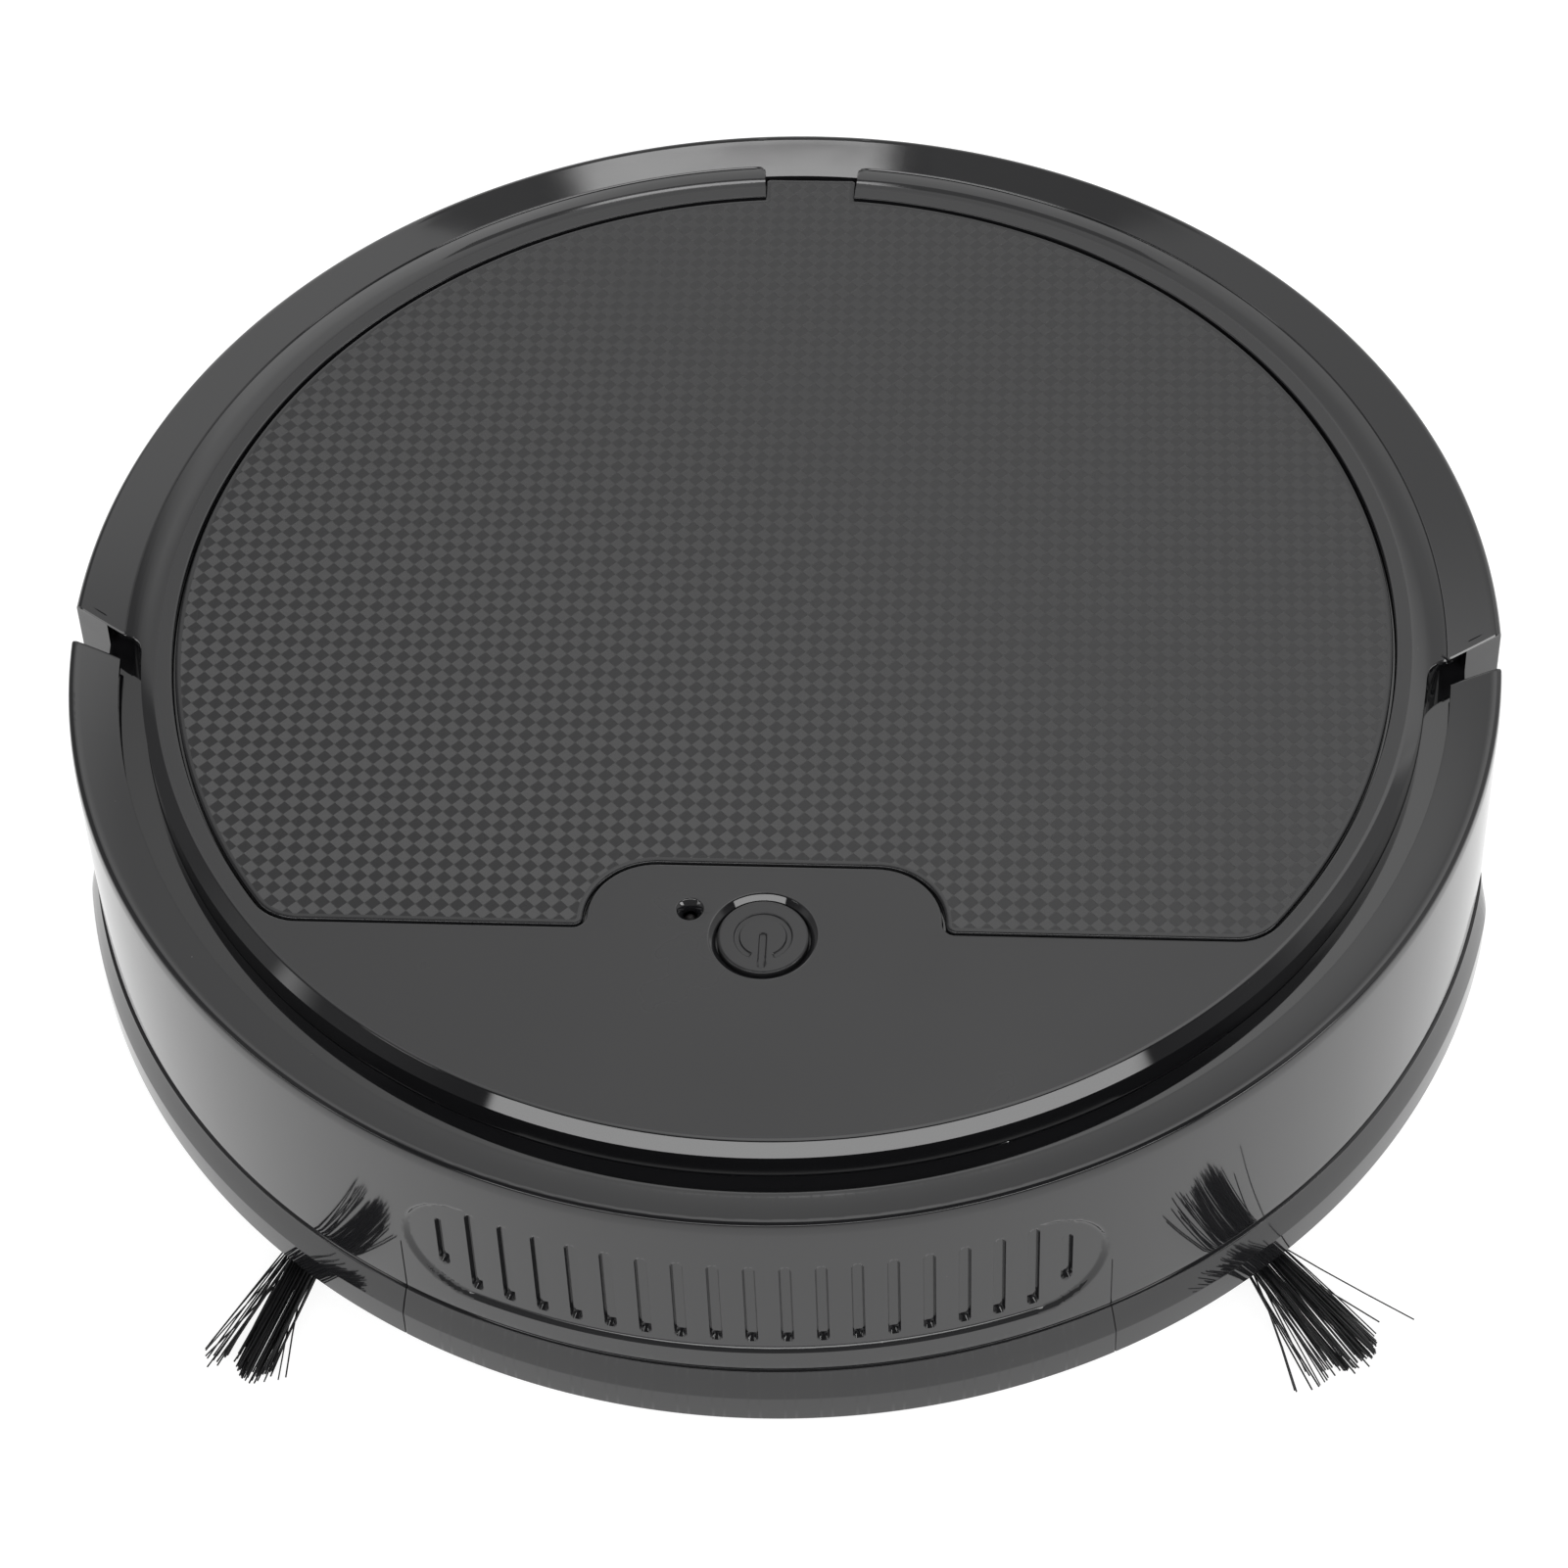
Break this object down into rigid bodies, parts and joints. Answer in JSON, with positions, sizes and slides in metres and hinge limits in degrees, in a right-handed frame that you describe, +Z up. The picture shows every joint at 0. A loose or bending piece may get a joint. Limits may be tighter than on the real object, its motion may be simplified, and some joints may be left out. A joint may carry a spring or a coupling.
{
  "type": "robot vacuum",
  "caption": "Round robot vacuum with a sprung front bumper, hinged lid over a dust bin, side brushes, sprung geared drive wheels and a front caster.",
  "frame": {"origin": "on the floor under the centre of the round body", "axes": "+Z up, -Y is the driving direction (bumper side), +X is the machine's own left"},
  "size_m": [0.2828, 0.283, 0.072],
  "materials": {
    "housing_gloss": "high gloss moulded black ABS",
    "base_plastic": "fine textured black ABS",
    "lid_checker": "satin checker-textured film",
    "steel": "zinc plated",
    "spring_steel": "drawn wire",
    "motor_can": "pressed can",
    "gear_plastic": "natural acetal",
    "circuit_board": "solder mask",
    "switch_black": "moulded",
    "lens": "diffused lamp dome",
    "sensor_window": "dark infrared window",
    "battery_wrap": "shrink film",
    "bin_clear": "smoked moulded bin",
    "bin_cover": "satin moulded",
    "filter_paper": "pleated filter paper",
    "rubber": "soft matte",
    "tyre": "moulded rubber",
    "wheel_plastic": "satin moulded",
    "bristle": "nylon filament"
  },
  "bodies": {
    "chassis": {"lower_housing": "base_plastic", "upper_housing": "housing_gloss", "service_deck": "base_plastic", "bumper_switches": "base_plastic", "lid_hinge_pins": "steel", "power_switch": "switch_black", "status_led": "lens", "main_board": "circuit_board", "battery_pack": "battery_wrap", "battery_door": "base_plastic", "battery_door_screws": "steel", "housing_screws": "steel", "suction_duct": "base_plastic", "suction_wiper": "rubber", "inlet_seal": "rubber", "dust_bin": "bin_clear", "dust_bin_cover": "bin_cover", "filter_frame": "bin_cover", "filter_pleats": "filter_paper", "fan_housing": "base_plastic", "fan_motor": "motor_can", "charging_socket": "base_plastic", "cliff_sensor_windows": "sensor_window", "brush_motor_left": "motor_can", "brush_motor_right": "motor_can", "bumper_spring_left": "spring_steel", "bumper_spring_right": "spring_steel", "suspension_spring_left": "spring_steel", "suspension_spring_right": "spring_steel"},
    "bumper": {"bumper_shell": "housing_gloss"},
    "lid": {"lid": "lid_checker"},
    "power_button": {"power_button": "housing_gloss"},
    "impeller": {"fan_impeller": "gear_plastic"},
    "caster_fork": {"caster_fork": "base_plastic", "caster_axle": "steel"},
    "caster_wheel": {"caster_wheel": "wheel_plastic"},
    "left_switch_lever": {"switch_lever_left": "spring_steel"},
    "left_side_brush": {"side_brush_hub_left": "base_plastic", "side_brush_bristles_left": "bristle", "brush_gear_left": "gear_plastic"},
    "left_brush_pinion": {"brush_pinion_left": "gear_plastic"},
    "left_drive_arm": {"drive_arm_left": "base_plastic", "gearbox_cover_left": "base_plastic", "drive_motor_left": "motor_can"},
    "left_drive_pinion": {"drive_pinion_left": "gear_plastic"},
    "left_wheel": {"wheel_hub_left": "wheel_plastic", "tyre_left": "tyre", "drive_gear_left": "gear_plastic"},
    "right_switch_lever": {"switch_lever_right": "spring_steel"},
    "right_side_brush": {"side_brush_hub_right": "base_plastic", "side_brush_bristles_right": "bristle", "brush_gear_right": "gear_plastic"},
    "right_brush_pinion": {"brush_pinion_right": "gear_plastic"},
    "right_drive_arm": {"drive_arm_right": "base_plastic", "gearbox_cover_right": "base_plastic", "drive_motor_right": "motor_can"},
    "right_drive_pinion": {"drive_pinion_right": "gear_plastic"},
    "right_wheel": {"wheel_hub_right": "wheel_plastic", "tyre_right": "tyre", "drive_gear_right": "gear_plastic"}
  },
  "joints": [
    {"name": "bumper_slide", "type": "slide", "parent": "chassis", "child": "bumper", "axis": [0, 1, 0], "range_m": [0, 0.003], "stiffness_N_per_m": 300, "springref_m": -0.002, "deforming": ["bumper_spring_left", "bumper_spring_right"]},
    {"name": "lid_hinge", "type": "hinge", "parent": "chassis", "child": "lid", "pos_m": [0, -0.087, 0.066], "axis": [1, 0, 0], "range_deg": [0, 75]},
    {"name": "button_press", "type": "slide", "parent": "chassis", "child": "power_button", "axis": [0, 0, -1], "range_m": [0, 0.0008], "stiffness_N_per_m": 200, "springref_m": -0.001},
    {"name": "impeller_spin", "type": "hinge", "parent": "chassis", "child": "impeller", "pos_m": [0, 0.09, 0.036], "axis": [0, 1, 0], "continuous": true},
    {"name": "caster_swivel", "type": "hinge", "parent": "chassis", "child": "caster_fork", "pos_m": [0, -0.1, 0.03], "axis": [0, 0, 1], "continuous": true},
    {"name": "caster_roll", "type": "hinge", "parent": "caster_fork", "child": "caster_wheel", "pos_m": [0, -0.095, 0.011], "axis": [1, 0, 0], "continuous": true},
    {"name": "left_switch_lever_hinge", "type": "hinge", "parent": "chassis", "child": "left_switch_lever", "pos_m": [0.062, -0.107, 0.0495], "axis": [0, 0, 1], "range_deg": [0, 21]},
    {"name": "left_side_brush_spin", "type": "hinge", "parent": "chassis", "child": "left_side_brush", "pos_m": [0.0785, -0.069, 0.01], "axis": [0, 0, 1], "continuous": true},
    {"name": "left_brush_pinion_spin", "type": "hinge", "parent": "chassis", "child": "left_brush_pinion", "pos_m": [0.0593, -0.069, 0.017], "axis": [0, 0, 1], "continuous": true},
    {"name": "left_arm_swing", "type": "hinge", "parent": "chassis", "child": "left_drive_arm", "pos_m": [0.085, 0.052, 0.029], "axis": [1, 0, 0], "range_deg": [0, 16], "stiffness_Nm_per_rad": 0.05, "springref_deg": 68.75, "deforming": ["suspension_spring_left"]},
    {"name": "left_wheel_spin", "type": "hinge", "parent": "left_drive_arm", "child": "left_wheel", "pos_m": [0.104, 0.012, 0.029], "axis": [1, 0, 0], "continuous": true},
    {"name": "left_drive_pinion_spin", "type": "hinge", "parent": "left_drive_arm", "child": "left_drive_pinion", "pos_m": [0.087, 0.033, 0.029], "axis": [1, 0, 0], "continuous": true},
    {"name": "right_switch_lever_hinge", "type": "hinge", "parent": "chassis", "child": "right_switch_lever", "pos_m": [-0.062, -0.107, 0.0495], "axis": [0, 0, 1], "range_deg": [-21, 0]},
    {"name": "right_side_brush_spin", "type": "hinge", "parent": "chassis", "child": "right_side_brush", "pos_m": [-0.0785, -0.069, 0.01], "axis": [0, 0, 1], "continuous": true},
    {"name": "right_brush_pinion_spin", "type": "hinge", "parent": "chassis", "child": "right_brush_pinion", "pos_m": [-0.0593, -0.069, 0.017], "axis": [0, 0, 1], "continuous": true},
    {"name": "right_arm_swing", "type": "hinge", "parent": "chassis", "child": "right_drive_arm", "pos_m": [-0.085, 0.052, 0.029], "axis": [1, 0, 0], "range_deg": [0, 16], "stiffness_Nm_per_rad": 0.05, "springref_deg": 68.75, "deforming": ["suspension_spring_right"]},
    {"name": "right_wheel_spin", "type": "hinge", "parent": "right_drive_arm", "child": "right_wheel", "pos_m": [-0.104, 0.012, 0.029], "axis": [1, 0, 0], "continuous": true},
    {"name": "right_drive_pinion_spin", "type": "hinge", "parent": "right_drive_arm", "child": "right_drive_pinion", "pos_m": [-0.087, 0.033, 0.029], "axis": [1, 0, 0], "continuous": true}
  ],
  "couplings": [
    {"joint": "left_switch_lever_hinge", "follows": "bumper_slide", "rad_per_m": 120},
    {"joint": "left_brush_pinion_spin", "follows": "left_side_brush_spin", "ratio": -3},
    {"joint": "left_drive_pinion_spin", "follows": "left_wheel_spin", "ratio": -4},
    {"joint": "right_switch_lever_hinge", "follows": "bumper_slide", "rad_per_m": -120},
    {"joint": "right_brush_pinion_spin", "follows": "right_side_brush_spin", "ratio": -3},
    {"joint": "right_drive_pinion_spin", "follows": "right_wheel_spin", "ratio": -4}
  ]
}
